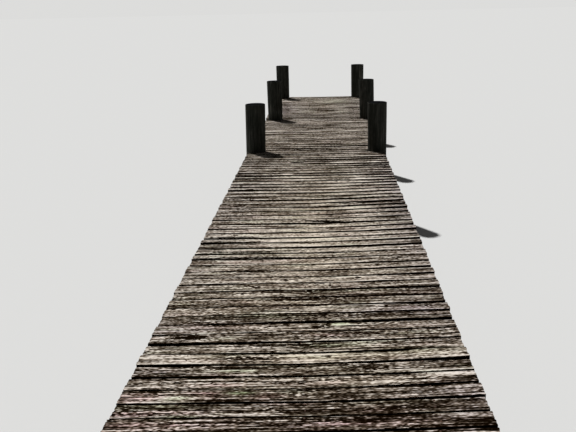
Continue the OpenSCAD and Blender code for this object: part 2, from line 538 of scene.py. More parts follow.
class Shader(Nodes):
    """A material made of one surface, with its colour and its bump."""

    def __init__(self, name, roughness, specular=0.3):
        self.material = bpy.data.materials.new(name)
        self.material.use_nodes = True
        super().__init__(self.material.node_tree)
        self.surface = self.tree.nodes["Principled BSDF"]
        self.surface.inputs["Roughness"].default_value = roughness
        self.surface.inputs["Specular IOR Level"].default_value = specular

    def attribute(self, name):
        return self.add("Attribute", {}, "Vector", attribute_name=name)

    def split_vector(self, vector):
        return self.node("SeparateXYZ", {0: vector}).outputs

    def length(self, vector):
        return self.add("VectorMath", {0: vector}, "Value", operation="LENGTH")

    def knot(self):
        """Distance from the nearest knot, in knot radii, and that knot's depth."""
        x, y, depth = self.split_vector(self.attribute("knot"))
        return self.length(self.add("CombineXYZ", {0: x, 1: y, 2: 0.0})), depth

    def weigh(self, *pairs, offset=0.0):
        """The sum of values, each times its weight, and an offset."""
        total = offset
        for value, weight in pairs:
            total = self.add("Math", {0: value, 1: weight, 2: total}, operation="MULTIPLY_ADD")
        return total

    def noise(self, place, scale, detail=1.0, roughness=0.5):
        """Noise from 0 to 1 with bumps 1 / scale long along each axis of place."""
        stretched = self.add("VectorMath", {0: place, 1: scale}, operation="MULTIPLY")
        settings = {"Vector": stretched, "Scale": 1.0, "Detail": detail, "Roughness": roughness}
        return self.add("TexNoise", settings)

    def ramp(self, value, stops):
        """Colour by value. Stops gives the screen colour at each value."""
        node = self.node("ValToRGB", {0: value})
        while len(node.color_ramp.elements) < len(stops):
            node.color_ramp.elements.new(0.5)
        for element, (at, levels) in zip(node.color_ramp.elements, stops.items()):
            element.position, element.color = at, srgb(*levels)
        return node.outputs[0]

    def step(self, value, low, high):
        """0 at low and 1 at high, smooth between them."""
        limits = {0: value, 1: low, 2: high, 3: 0.0, 4: 1.0}
        return self.add("MapRange", limits, interpolation_type="SMOOTHSTEP")

    def mix(self, share, a, b, blend="MIX"):
        return self.add("MixRGB", {0: share, 1: a, 2: b}, blend_type=blend)

    def finish(self, colour, height, depth):
        """Joins colour and bump to the surface. Depth is the bump's height in metres."""
        bumped = self.add("Bump", {"Strength": 1.0, "Distance": depth, "Height": height})
        self.tree.links.new(colour, self.surface.inputs["Base Color"])
        self.tree.links.new(bumped, self.surface.inputs["Normal"])
        return self.material


def deck_material():
    """Bleached grey boards: pale raised grain, brown hollows, splits and board sides painted black with their
    shade, a painted highlight along the near arris, a breath of green and mauve.
    """
    s = Shader("deck_board_face", 1.0, 0.0)
    place = s.attribute("wood")
    relief, split, tone = s.split_vector(s.attribute("state"))

    # A mark is a dark core and a rough rim, and the deepest are gouges, painted black all over as a shadow
    around, depth = s.knot()
    warp = s.noise(place, (34, 70, 70), 3.0, 0.6)
    gouged = s.step(s.weigh((around, 1.0), (warp, 0.5), offset=-0.25), 1.0, 0.75)
    gouge = s.math("MULTIPLY", gouged, s.step(depth, 1.05, 1.2))
    around = s.weigh((around, 1.0), (warp, 1.6), offset=-0.8)
    core = s.step(around, 1.1, 0.5)
    rim = s.math("MULTIPLY", s.step(around, 2.2, 1.3), s.step(around, 0.5, 0.9))

    # The grain, from broad patches to fibres
    patch = s.noise(place, (3.2, 14, 14))
    streak = s.noise(place, (2.0, 50, 50))
    line = s.noise(place, (3.0, 110, 110))
    grain = s.noise(place, (10, 160, 160), 2.0, 0.5)
    fibre = s.noise(place, (50, 400, 400), 2.0, 0.6)
    figure = s.weigh((streak, 1.55), (line, 1.6), (grain, 1.0), (fibre, 0.4), offset=-2.275)
    drawn = s.step(s.noise(place, (1.6, 10, 10)), 0.38, 0.62)
    drawn = s.weigh((drawn, 0.75), offset=0.65)

    # Speckle where the face is rough, pores all over, fine cracks painted dark with their shade, and pale
    # dashes
    rough = s.step(s.noise(place, (4, 16, 16)), 0.48, 0.75)
    rough = s.weigh((rough, 2.4), (s.math("MULTIPLY", rim, depth), 2.4), offset=1.1)
    speckle = s.weigh((s.noise(place, (44, 180, 180)), 1.0), offset=-0.5)
    pores = s.weigh((s.noise(place, (62, 180, 180), 0.0, 0.5), 1.0), offset=-0.5)
    cracks = s.step(s.noise(place, (2.2, 95, 95)), 0.34, 0.27)
    dashes = s.step(s.noise(place, (4.5, 120, 120)), 0.66, 0.74)

    value = s.weigh(
        (patch, 0.45), (s.math("MULTIPLY", figure, drawn), 1.0), (relief, 0.3), (tone, 1.2),
        (s.math("MULTIPLY", speckle, rough), 1.0), (pores, 1.2), (cracks, -0.5), (dashes, 0.22), offset=0.122,
    )
    value = s.weigh((s.math("MULTIPLY", core, depth), -0.62), (value, 1.0))
    colour = s.ramp(value, {
        0.00: (17, 9, 3), 0.18: (44, 34, 23), 0.36: (87, 75, 62), 0.50: (121, 109, 95),
        0.66: (159, 147, 134), 0.84: (204, 193, 180), 1.00: (238, 228, 216),
    })

    hue = s.noise(place, (3.0, 24, 24), 2.0, 0.5)
    pink, green, tan = s.split_vector(s.attribute("tint"))
    pink = s.weigh((s.step(hue, 0.56, 0.75), 0.16), (pink, 1.0))
    green = s.weigh((s.step(hue, 0.46, 0.25), 0.13), (green, 1.0))
    tints = (
        (pink, srgb(255, 206, 226)), (green, srgb(194, 255, 180)),
        (tan, srgb(255, 247, 228)), (s.math("MULTIPLY", tan, -1.0), srgb(238, 234, 255)),
    )
    for share, tint in tints:
        colour = s.mix(share, colour, tint, "MULTIPLY")
    # Soiling and painted shade: near black in the splits, along the arrises and on the sides seen across the
    # gaps, and in the gouges, and a little along the grain
    dirt = s.weigh((split, 1.0), (grain, 0.5), (gouge, 1.0), offset=-0.25)
    colour = s.mix(s.step(dirt, 0.15, 0.75), colour, srgb(12, 7, 2))
    height = s.weigh((line, 0.6), (grain, 0.4), (fibre, 0.3), (cracks, -0.4), offset=0.3)
    return s.finish(colour, height, 0.004)


def end_grain_material(name, pale, dark):
    """Sawn ends: darker, with arcs of growth rings."""
    s = Shader(name, 0.9, 0.2)
    place = s.attribute("wood")
    rings = s.noise(place, (3, 60, 190), 3.0, 0.6)
    grit = s.noise(place, (400, 400, 400), 2.0, 0.7)
    value = s.weigh((rings, 1.6), (grit, 0.8), offset=-0.7)
    return s.finish(s.mix(value, dark, pale), value, 0.002)


def streaked_material(name, surface, scales, weights, stops, cracks, knots=False):
    """Sawn or round timber: streaks and fibres along the grain, blotches, knots, and painted shade, dark in
    the cracks and at a sawn timber's arrises.

    Surface is its roughness and its shine. Scales are those of streaks, fibres and blotches. Weights
    are of the same three, the relief and the tone, and then an offset. Cracks have a reach and the
    colour of their painted shade.
    """
    s = Shader(name, *surface)
    place = s.attribute("wood")
    relief, split, tone = s.split_vector(s.attribute("state"))
    details = (5.0, 3.0, 4.0)
    streak, fibre, blotch = (s.noise(place, *pair, 0.6) for pair in zip(scales, details))
    *weights, offset = weights
    pairs = [pair for pair in zip((streak, fibre, blotch, relief, tone), weights) if pair[1]]
    colour = s.ramp(s.weigh(*pairs, offset=offset), stops)
    if knots:
        around, _ = s.knot()
        colour = s.mix(s.step(around, 1.2, 0.8), colour, srgb(34, 24, 16))
    # Painted shade: dark in the cracks and, on sawn timber, along the arrises and narrow sides
    reach, dark = cracks
    colour = s.mix(s.step(split, *reach), colour, srgb(*dark))
    return s.finish(colour, s.weigh((streak, 0.6), (fibre, 0.4)), 0.003)


def pile_top_material():
    """Sawn tops of the piles, as dark as their sides, with growth rings, and radial cracks painted near black
    with their shade.
    """
    s = Shader("pile_end", 0.95, 0.0)
    place = s.attribute("wood")
    _, split, _ = s.split_vector(s.attribute("state"))
    flat = s.add("VectorMath", {0: place, 1: (1.0, 1.0, 0.0)}, operation="MULTIPLY")
    warp = s.noise(place, (14, 14, 1), 2.0, 0.5)
    ringed = s.math("SINE", s.weigh((s.length(flat), 1100.0), (warp, 14.0)))
    grit = s.noise(place, (190, 190, 190), 3.0, 0.7)
    value = s.weigh((ringed, 0.12), (grit, 1.0), (warp, 0.7), offset=-0.35)
    colour = s.ramp(value, {0.0: (7, 7, 8), 0.5: (17, 17, 18), 1.0: (40, 40, 42)})
    # Painted shade in the radial cracks
    colour = s.mix(s.step(split, 0.2, 0.8), colour, srgb(4, 4, 4))
    return s.finish(colour, value, 0.002)


def steel_material(name, colour, rust, roughness):
    """Old galvanised or rusted steel."""
    s = Shader(name, roughness, 0.5)
    s.surface.inputs["Metallic"].default_value = 0.6
    place = s.add("TexCoord", {}, "Object")
    spots = s.noise(place, (220, 220, 220), 4.0, 0.65)
    return s.finish(s.mix(s.step(spots, 0.42, 0.6), colour, rust), spots, 0.0006)


BOARD_FACE = deck_material()
BOARD_END = end_grain_material("deck_board_end", srgb(128, 116, 100), srgb(38, 30, 22))
FRAME_FACE = streaked_material(
    "frame_timber_face", surface=(0.85, 0.3), scales=((5, 80, 80), (26, 360, 360), (2.4, 12, 12)),
    weights=(1.4, 0.7, 1.1, 0.25, 1.0, -1.3), cracks=((0.12, 0.75), (8, 6, 5)), knots=True,
    stops={
        0.00: (18, 14, 10), 0.30: (52, 44, 35), 0.55: (88, 78, 66), 0.80: (126, 116, 102),
        1.00: (160, 150, 136),
    },
)
FRAME_END = end_grain_material("frame_timber_end", srgb(92, 80, 66), srgb(28, 22, 16))
PILE_FACE = streaked_material(
    "pile_side", surface=(0.95, 0.08), scales=((75, 75, 3.5), (260, 260, 14), (9, 9, 4)),
    weights=(1.5, 0.8, 1.2, 0.3, 0.0, -1.4), cracks=((0.15, 0.8), (8, 8, 7)),
    stops={0.00: (20, 21, 18), 0.45: (40, 41, 36), 0.75: (60, 60, 55), 1.00: (92, 90, 84)},
)
PILE_TOP = pile_top_material()
NAIL_STEEL = steel_material("nail_steel", srgb(46, 36, 30), srgb(74, 42, 24), 0.7)
BOLT_STEEL = steel_material("bolt_steel", srgb(84, 82, 80), srgb(84, 50, 30), 0.6)

# Kinds of timber: rows across the face and across the back, columns, and how worn they are

BOARD_RING = Ring(44, 10, 56)
BEAM_RING = Ring(22, 22, 40)
STRINGER_RING = Ring(20, 20, 54)
BOARD_STYLE = SimpleNamespace(
    knots=1.0, knot_radius=(0.005, 0.012), knot_sink=0.0025, end_wear=0.0022, flow=0.035, ragged=0.0013,
    chips=0.8, arris=0.0032, grime=0.0034, cup=0.0010, lie=0.0003, roll=0.0006, ridge=0.0011, hollow=0.0009,
    splits=13, split_length=0.7, split_depth=0.0065, split_half=0.0017, back_splits=False,
    bleach=0.13, mottle=0.09,
)
PLANK_STYLE = SimpleNamespace(
    knots=2.0, knot_radius=(0.009, 0.02), knot_sink=0.001, end_wear=0.0012, flow=0.03, ragged=0.0006,
    chips=0.3, arris=0.0032, grime=0.0022, cup=0.0005, lie=0.0, roll=0.0, ridge=0.0006, hollow=0.0006,
    splits=6, split_length=0.9, split_depth=0.006, split_half=0.0014, back_splits=True,
    bleach=0.0, mottle=0.0,
)


# Where the frame puts things

def beam_boxes(bent):
    """Corners of the inner and the outer cross beam of a bent."""
    return [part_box(f"cross_beam_{face}_{bent}") for face in FACES]


class Pile:
    """A pile's axis, radius and levels, read from its CAD node."""

    def __init__(self, side, bent):
        self.name = f"pile_{side}_{bent}"
        self.side, self.bent = side, bent
        points = np.array([v.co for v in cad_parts[self.name].data.vertices])
        self.top = points[:, 2].max()
        self.foot_at, self.foot_radius = self.ring_at(points, 0.0)
        self.top_at, self.top_radius = self.ring_at(points, self.top)

    @staticmethod
    def ring_at(points, level):
        ring = points[np.abs(points[:, 2] - level) < 1e-4]
        low, high = ring.min(0), ring.max(0)
        return (low + high)[:2] / 2, (high - low)[:2].mean() / 2

    def axis(self, z):
        return self.foot_at + (self.top_at - self.foot_at) * (z / self.top)

    def radius(self, z):
        return self.foot_radius + (self.top_radius - self.foot_radius) * z / self.top


PILES = {(side, bent): Pile(side, bent) for side in PILE_SIDES for bent in range(1, BENTS + 1)}
DECK_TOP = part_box("deck_bay_1")[1].z


def in_order(items):
    """Points or edges of a mesh, in an order that is the same in every run."""
    return sorted(items, key=lambda item: item.index)


def solids_of(node):
    """The separate solids in a CAD node, each as its points and the direction of its longest edge."""
    bm = bmesh.new()
    bm.from_mesh(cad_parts[node].data)
    bmesh.ops.remove_doubles(bm, verts=bm.verts, dist=1e-5)
    bm.verts.index_update()
    bm.edges.index_update()
    left, found = set(bm.verts), []
    while left:
        group, rim = set(), {left.pop()}
        while rim:
            vert = rim.pop()
            group.add(vert)
            rim |= {e.other_vert(vert) for e in vert.link_edges} - group
        left -= group
        edges = {e for v in group for e in v.link_edges if e.calc_face_angle(0) > 0.5}
        longest = max(in_order(edges), key=lambda e: e.calc_length())
        run = longest.verts[1].co - longest.verts[0].co
        found.append((np.array([v.co for v in in_order(group)]), math.atan2(run.y, run.x)))
    bm.free()
    return sorted(found, key=lambda item: item[0][:, 1].mean())


class Board:
    """Place and size of one deck board, from its CAD solid, and the gaps beside it."""

    def __init__(self, bay, points, angle):
        angle = (angle + math.pi / 2) % math.pi - math.pi / 2
        turn = np.array([[math.cos(angle), math.sin(angle)], [-math.sin(angle), math.cos(angle)]])
        flat = points[:, :2] @ turn.T
        low, high = flat.min(0), flat.max(0)
        foot, top = points[:, 2].min(), points[:, 2].max()
        self.bay, self.middle = bay, (low + high) / 2 @ turn
        self.length, self.width = high - low
        self.thick = top - foot
        self.slope = math.tan(angle)
        self.placing = Matrix.Translation((*self.middle, (top + foot) / 2))
        self.near_gap = self.far_gap = None

    def edge(self, out):
        """Where an edge of the CAD board crosses the middle of the deck."""
        half = self.width / 2 * math.hypot(1, self.slope)
        return self.middle[1] - self.slope * self.middle[0] + out * half

    def sides(self):
        """The two sides of the worn board, as functions of the place along it."""
        mx, my = self.middle
        return (
            lambda x: self.near_gap.side(x + mx, 1) - my,
            lambda x: self.far_gap.side(x + mx, -1) - my,
        )

    def tips(self):
        """How far the two sides of the board stand out of level, as functions of the place along it."""
        middle = self.middle[0]
        return (
            lambda x: self.near_gap.step(x + middle) / 2,
            lambda x: -self.far_gap.step(x + middle) / 2,
        )

    def ends(self, left_y, right_y, left, right):
        """Trims the ends that stand up, and cuts them back where a pile comes up through the board."""
        left = left + EDGE_TRIM * float(settled(-HALF_DECK, self.middle[1]))
        right = right - EDGE_TRIM * float(settled(HALF_DECK, self.middle[1]))
        for (side, bent), pile in PILES.items():
            if bent <= BENTS - HEAD_BENTS:
                continue
            x, y, _ = self.placing.inverted() @ Vector((*pile.axis(DECK_TOP), DECK_TOP))
            reach = pile.radius(DECK_TOP) + NOTCH_CLEARANCE
            rows_y = left_y if side == "left" else right_y
            half = np.sqrt(np.clip(reach**2 - (rows_y - y) ** 2, 0, None))
            if side == "left":
                left = np.where(half > 0, np.maximum(left, x + half), left)
            else:
                right = np.where(half > 0, np.minimum(right, x - half), right)
        return left, right


class Gap:
    """A gap between two boards, seen as a dark line of some width at its left end, middle and right end."""

    def __init__(self, start, slope, widths):
        self.start, self.slope, self.widths = start, slope, widths

    def width(self, x):
        left, middle, right = self.widths
        t = x / HALF_DECK
        return middle + (right - left) / 2 * t + ((left + right) / 2 - middle) * t * t

    def side(self, x, out):
        """The y where the wood starts, on the head side (out 1) or the land side (out -1)."""
        return self.start + self.slope * x + out * OPEN_SHARE * self.width(x) / 2

    def step(self, x):
        """How much higher the board on the head side stands. From the land, a step makes a gap look wider."""
        return STEP_SHARE * self.width(x)


# Deck

# How much an end is trimmed for each metre that it stands above its true level
EDGE_TRIM = 0.38
# How much of a gap's width is open, and how much of it is a step between the boards
OPEN_SHARE = 0.7
STEP_SHARE = 0.12
# How far the boards have crept towards the land: most at one board, and over how many on each side
CREEP, CREEP_AT, CREEP_REACH = 0.021, 86, 22
# How far a gap strays from its place
GAP_STRAY = 0.002
# The y where the deck starts to be more decayed towards the head, with wider painted shade and a
# stronger painted highlight along the board edges, and where it is fully so, and by how much
FAR_WEAR = (-3.4, 0.0)
FAR_DECAY = 1.6

# Gaps and boards are counted from the head. Gaps that aren't listed are about as wide as this by
# the land, and wider by the head, and vary at the left, the middle and the right
GAP_WIDTH, HEAD_WIDENING, GAP_VARIES = 0.014, 0.005, 0.35
GAP_FLARE = (0.8, 1.0, 1.25)
GAP_LIMITS = (0.006, 0.036)
# Widths of the listed gaps as the camera sees them, in millimetres. They are widened to their true
# widths, a little more for the gaps towards the head
FIRST_LISTED = 43
GAP_WIDTHS = dict(enumerate((
    (6, 14, 20), (14, 12, 10), (11, 18, 10), (5, 12, 30), (22, 18, 12), (12, 10, 14), (18, 12, 34),
    (14, 14, 30), (14, 14, 20), (18, 16, 28), (13, 18, 28), (8, 10, 30), (6, 10, 10), (19, 12, 24),
    (9, 18, 12), (22, 12, 34), (6, 16, 16), (7, 10, 32), (21, 14, 14), (32, 12, 20), (9, 20, 22), (6, 13, 13),
    (6, 20, 18), (5, 14, 24), (5, 17, 32), (4, 6, 29), (4, 6, 20), (11, 4, 17), (3, 19, 14), (15, 7, 32),
    (5, 9, 22), (24, 14, 14), (26, 12, 29), (15, 22, 26), (13, 9, 5), (21, 20, 4), (5, 4, 12), (6, 11, 25),
    (4, 6, 22), (10, 8, 3), (7, 14, 24), (3, 10, 10), (8, 7, 20), (4, 10, 20), (2, 15, 25), (9, 4, 9),
    (15, 13, 10), (2, 13, 3), (21, 12, 23), (7, 10, 9), (2, 6, 10), (9, 10, 14), (2, 4, 8), (4, 6, 8),
    (3, 4, 6), (4, 4, 6),
), FIRST_LISTED))
LISTED_LIMITS = (0.004, 0.046)
SEEN_WIDENING, FAR_WIDENING, FAR_WIDENING_OVER = 1.4, 0.3, (90, 70)

# How much darker the boards get, by the land as painted shade and by the head, each over a stretch of y
LAND_DARK, LAND_DARK_OVER = 0.12, (-3.2, -4.4)
HEAD_DARK, HEAD_DARK_OVER = 0.01, (-1.5, 1.0)
# How much paler some boards are than the rest, in hundredths. The others vary at random
TONE_VARIES = 0.06
BOARD_TONES = {
    22: -6, 23: -6, 31: -5, 43: -5, 45: -5, 56: -4, 58: 7, 59: -10, 62: 1, 64: 4, 65: -7, 66: 1, 67: -10,
    68: 3, 69: -7, 70: 5, 71: -2, 72: 4, 73: 6, 74: 6, 75: 7, 76: -3, 77: 7, 78: 4, 79: -1, 80: 0, 81: -5,
    82: 5, 83: -2, 84: -9, 85: -8, 86: 4, 87: -10, 88: -3, 89: -8, 90: -2, 91: 11, 92: -6, 93: 5, 94: -2,
    95: -7, 96: -8, 97: -4, 98: 0,
}

# Marks on the boards, counted from the head: board, x, y across the board from its middle, half
# length and half width in millimetres, tilt in degrees, and depth in hundredths. Pale patches have
# a depth below 0, knots and stains one up to 100, and gouges, painted black all over as a shadow,
# one from 120
MARKS = (
    (93, -50, -13, 90, 6, 0, 80), (93, -700, -10, 45, 5, 0, 70), (93, -550, -8, 35, 5, 0, 70),
    (93, 510, -18, 50, 13, 0, 90), (92, -410, 10, 30, 16, 0, 80), (92, 310, -5, 75, 24, 0, 50),
    (92, 600, 18, 130, 5, 2, 90), (91, -334, 0, 20, 14, 0, 90), (91, -220, 0, 75, 7, 0, 80),
    (91, 113, -2, 22, 12, 10, 90), (91, 113, 16, 40, 6, 10, -80), (90, 0, 6, 30, 16, 0, 90),
    (90, 420, 0, 80, 20, 0, 50), (90, -220, 0, 40, 12, 0, 60), (90, -620, 30, 120, 12, 0, 50),
    (89, -560, -11, 100, 24, -2, 100), (89, -550, 29, 110, 7, -2, -180), (89, -710, -4, 45, 16, 0, -80),
    (89, 340, -8, 60, 12, 0, 70), (88, 55, -26, 28, 16, 0, 90), (88, 115, 4, 12, 24, 0, 80),
    (88, 190, 0, 50, 26, 0, -60), (88, -10, -8, 50, 14, 0, -60), (88, -145, -12, 11, 8, 0, 90),
    (87, -400, 0, 150, 30, 0, 35), (86, -115, 0, 22, 10, 0, 80), (86, 390, 5, 45, 18, 0, -80),
    (86, 430, 0, 14, 12, 0, 80), (85, -20, 0, 160, 14, 0, 60), (84, 13, 16, 18, 26, 0, 90),
    (83, -300, -18, 26, 11, 0, 90), (83, -470, -12, 30, 6, 0, 70), (83, 130, 0, 9, 40, 0, 80),
    (82, -129, -24, 19, 14, 0, 100), (82, 297, 0, 24, 18, 0, 90), (82, 434, 26, 22, 12, 0, 90),
    (82, 200, 0, 70, 20, 0, -60), (81, -460, 12, 36, 8, 25, -90), (81, -380, 30, 34, 8, 0, 100),
    (81, 510, 36, 14, 10, 0, 90), (80, 424, 0, 16, 14, 0, 90), (80, 110, 0, 90, 20, 0, -60),
    (80, 0, 20, 30, 6, 0, 90), (79, 560, 0, 30, 16, 0, 70), (78, -400, -38, 380, 11, 0, 120),
    (77, 640, 0, 50, 12, 0, -70), (77, -500, -38, 250, 10, 0, 120), (75, -370, -20, 50, 16, 0, 60),
    (75, 455, 0, 20, 14, 0, 80), (75, -550, -36, 220, 11, 0, 120), (74, -550, -36, 220, 11, 0, 120),
    (73, -100, 0, 22, 10, 0, 90), (71, 90, -14, 170, 28, -9, 140), (71, 540, 0, 200, 40, 0, 35),
    (70, 340, 0, 16, 16, 0, 80), (68, -566, 0, 22, 16, 0, 90), (67, -630, 0, 50, 25, 0, 50),
    (67, 500, 32, 330, 12, 2, 120), (65, 150, -32, 350, 12, 1, 120), (62, -550, -34, 250, 18, 0, 120),
    (61, -500, 34, 280, 13, 0, 120), (60, 620, 34, 220, 16, 0, 120), (59, 430, 0, 60, 34, 0, -180),
    (59, 200, -10, 180, 11, 0, 120), (58, -550, 32, 250, 18, 0, 120), (58, 660, 34, 200, 18, 0, 120),
    (57, -267, 0, 60, 34, 0, -180), (57, 80, 32, 300, 13, 0, 120), (56, 600, 32, 220, 15, 0, 120),
    (54, 550, 34, 150, 20, 0, 120), (53, 680, 34, 150, 20, 0, 120), (52, 300, 0, 200, 30, 3, -120),
    (52, 620, 0, 60, 30, 0, -100), (52, -190, 32, 70, 24, 0, 130), (51, 220, 34, 420, 18, 0, 120),
    (50, 520, 36, 260, 20, 0, 120), (48, -200, 34, 260, 20, 0, 120), (45, -150, 12, 380, 24, 0, 70),
    (44, 200, 34, 150, 22, 0, 120), (44, 480, 36, 200, 16, 0, 120), (37, -220, 0, 180, 30, 0, -70),
    (34, 400, 0, 160, 30, 0, -80), (15, -370, 0, 100, 40, 0, -90),
)

# Zones of the deck: x, y, half size across, half size along in millimetres, and amount in hundredths.
# Here an amount above 0 is paler wood, and one below 0 darker wood
WORN = (
    (20, -1850, 450, 320, 19), (-450, -950, 350, 400, -5), (500, -1150, 300, 350, 4),
    (-750, -1600, 120, 800, -6), (50, -2350, 300, 80, 6), (100, -2560, 250, 60, 5), (550, -3100, 250, 90, -5),
    (-420, -3170, 250, 50, -13), (0, -3080, 280, 80, -13), (100, -4070, 400, 130, -10),
    (-350, -4020, 100, 60, -12), (-400, -3920, 350, 50, 7), (550, -4020, 300, 100, -5),
    (400, -3800, 350, 40, 8), (-600, -3600, 250, 50, 7), (600, -3580, 300, 50, 5), (0, -3490, 500, 50, -4),
    (50, 4200, 200, 300, -6), (250, 5400, 500, 600, 5), (-150, 3100, 250, 100, 6), (-300, 1800, 250, 120, -6),
    (0, 2300, 900, 900, -4), (0, 1240, 900, 150, -17), (0, 680, 950, 160, -19), (-300, 430, 450, 90, -19),
    (500, 420, 260, 80, -12), (-680, 50, 180, 160, -30), (680, 50, 160, 130, -20), (0, -200, 300, 90, 14),
    (-650, -910, 200, 60, -18), (680, -1000, 140, 120, -18), (500, -1990, 300, 60, -14),
    (680, -2310, 140, 60, -20), (-620, -2460, 220, 100, -14), (250, -2930, 500, 80, -14),
    (-660, -3520, 180, 90, 16), (150, -3920, 220, 60, -14), (-640, -4080, 200, 130, 15),
    (-320, -3760, 180, 80, -14), (-620, -2900, 200, 100, 11), (0, -800, 700, 1400, 3.5),
)
# Here an amount above 0 is greenish wood, and one below 0 pink wood
MOSSY = (
    (-650, -3930, 160, 30, -90), (-530, -3940, 100, 25, 80), (-380, -3920, 90, 30, -90),
    (-270, -3910, 100, 18, 90), (-150, -3930, 60, 40, -70), (-600, -4010, 200, 25, 35),
    (-620, -4060, 220, 25, -60), (-500, -4090, 100, 20, 60), (-580, -4140, 250, 30, -60),
    (250, -4150, 250, 30, -50), (300, -4060, 200, 20, -40), (-360, -3840, 100, 20, -40),
    (-300, -3720, 120, 15, 40), (500, -3570, 300, 30, 25), (150, -3500, 150, 20, 40),
    (140, -3390, 100, 15, -50), (-450, -3280, 150, 20, -30), (180, -3260, 60, 30, 50),
    (-200, -3150, 200, 30, 30), (300, 5500, 200, 300, 20),
)
# Here an amount above 0 is tan wood, and one below 0 grey wood
TANNED = (
    (0, -1300, 420, 1700, 60), (50, 5000, 250, 800, 45), (-300, -3000, 500, 100, 40),
    (150, -3600, 600, 60, 50), (300, -3820, 400, 50, 40), (-100, -2500, 500, 250, 20),
    (-720, -700, 220, 1300, -30), (740, -1000, 140, 2200, -50), (-550, 4500, 200, 1200, -60),
    (550, -3100, 280, 80, -80), (700, -4000, 250, 250, -50), (-650, -3300, 200, 80, -60),
    (-650, -3740, 150, 40, -70), (0, 2000, 800, 1300, 20), (0, -4150, 800, 200, -30),
)


def far_share(y):
    """0 on the boards nearest the land and 1 on those out by the head."""
    return float(smooth(y, *FAR_WEAR))


def gap_widths(n, y, rng):
    """Widths of a gap at its left end, its middle and its right end."""
    wide = GAP_WIDTH + HEAD_WIDENING * far_share(y)
    widths = np.clip(wide * (1 + GAP_VARIES * rng.normal(size=3)) * GAP_FLARE, *GAP_LIMITS)
    if n in GAP_WIDTHS:
        widening = SEEN_WIDENING + FAR_WIDENING * float(smooth(n, *FAR_WIDENING_OVER))
        widths = np.clip(np.array(GAP_WIDTHS[n]) * widening / 1000, *LISTED_LIMITS)
    return widths


def read_deck():
    """Every board of the deck, from the head back to the land, with the gaps between them."""
    boards = [Board(bay, *solid) for bay in range(1, BAYS + 1) for solid in solids_of(f"deck_bay_{bay}")]
    boards.sort(key=lambda board: -board.middle[1])
    rng = np.random.default_rng(SEEDS["gaps"])
    for n, board in enumerate(boards[:-1]):
        nearer = boards[n + 1]
        widths = gap_widths(n, board.middle[1], rng)
        start = (board.edge(-1) + nearer.edge(1)) / 2 + rng.normal(0, GAP_STRAY)
        start -= CREEP * float(bump(n, CREEP_AT, CREEP_REACH))
        board.near_gap = nearer.far_gap = Gap(start, (board.slope + nearer.slope) / 2, widths)
    boards[0].far_gap = Gap(boards[0].edge(1), boards[0].slope, (0, 0, 0))
    boards[-1].near_gap = Gap(boards[-1].edge(-1), boards[-1].slope, (0, 0, 0))
    return boards


def board_tone(n, y, rng):
    """How pale a board is, with painted shade over the boards by the land."""
    tone = rng.normal(0, TONE_VARIES)
    if n in BOARD_TONES:
        tone = BOARD_TONES[n] / 100
    tone -= HEAD_DARK * float(smooth(y, *HEAD_DARK_OVER))
    return tone - LAND_DARK * float(smooth(y, *LAND_DARK_OVER))


def board_marks(n, board):
    """The listed marks that fall on a board, in its own frame."""
    found = []
    for place, *sizes, tilt, depth in MARKS:
        if place == n:
            x, y, reach, half = (size / 1000 for size in sizes)
            found.append((x - board.middle[0], y, reach, half, math.radians(tilt), depth / 100))
    return found


def zone_sum(zones, x, y):
    """The amounts of the zones at each place, each fading out from its middle."""
    total = np.zeros(x.shape)
    for *sizes, amount in zones:
        at_x, at_y, half_x, half_y = (size / 1000 for size in sizes)
        total += amount / 100 * np.exp(-(((x - at_x) / half_x) ** 2) - ((y - at_y) / half_y) ** 2)
    return total


def board_tint(x, y):
    """How pink, how green and how tan each place is, in streaks along the grain."""
    streaks = 0.65 + 0.45 * noise(x / 0.08, y / 0.006, 61)
    mossy = zone_sum(MOSSY, x, y) * streaks
    return np.stack([np.clip(-mossy, 0, 1), np.clip(mossy, 0, 1), zone_sum(TANNED, x, y) * streaks], -1)


def deck_lift(points):
    return settled(points[:, 0], points[:, 1])


def stringer_lift(points):
    """Raises the upper half of a stringer, which carries the deck where it has settled unevenly."""
    middle = (points[:, 2].min() + points[:, 2].max()) / 2
    return np.where(points[:, 2] > middle, settled(points[:, 0], points[:, 1]), 0)


# Nails: how far from the middle of a board, how far they stray along it and across it, how far
# they are sunk, and the radius and profile of a head
NAIL_ASIDE = 0.024
NAIL_STRAY = (0.005, 0.003)
NAIL_SUNK = 0.0004
NAIL_RADIUS = (0.0042, 0.0052)
NAIL_PROFILE = ((1.0, -0.0016), (1.0, 0.0002), (0.8, 0.0008), (0.35, 0.0011))
NAIL_SIDES = 10


def nail_heads(bay, boards, timbers):
    """Two nails through each board into each stringer, their heads a little sunk."""
    points, faces = [], []
    rng = np.random.default_rng(SEEDS["nails"] + bay)
    lines = [sum(corner.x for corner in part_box(f"stringer_{side}_{bay}")) / 2 for side in SIDES]
    for board, timber in zip(boards, timbers):
        for line in lines:
            for aside in (-NAIL_ASIDE, NAIL_ASIDE):
                x = line - board.middle[0] + rng.normal(0, NAIL_STRAY[0])
                y = aside + rng.normal(0, NAIL_STRAY[1])
                radius = rng.uniform(*NAIL_RADIUS)
                profile = [(share * radius, up) for share, up in NAIL_PROFILE]
                head, head_faces = turned_stack(profile, NAIL_SIDES)
                foot = Vector((x, y, timber.top_at(x, y) - NAIL_SUNK + float(settled(line, board.middle[1]))))
                add_part(points, faces, [board.placing @ (foot + Vector(p)) for p in head], head_faces)
    dress(mesh_piece(f"nails_bay_{bay}", points, faces, [0] * len(faces), [NAIL_STEEL], {}), None)


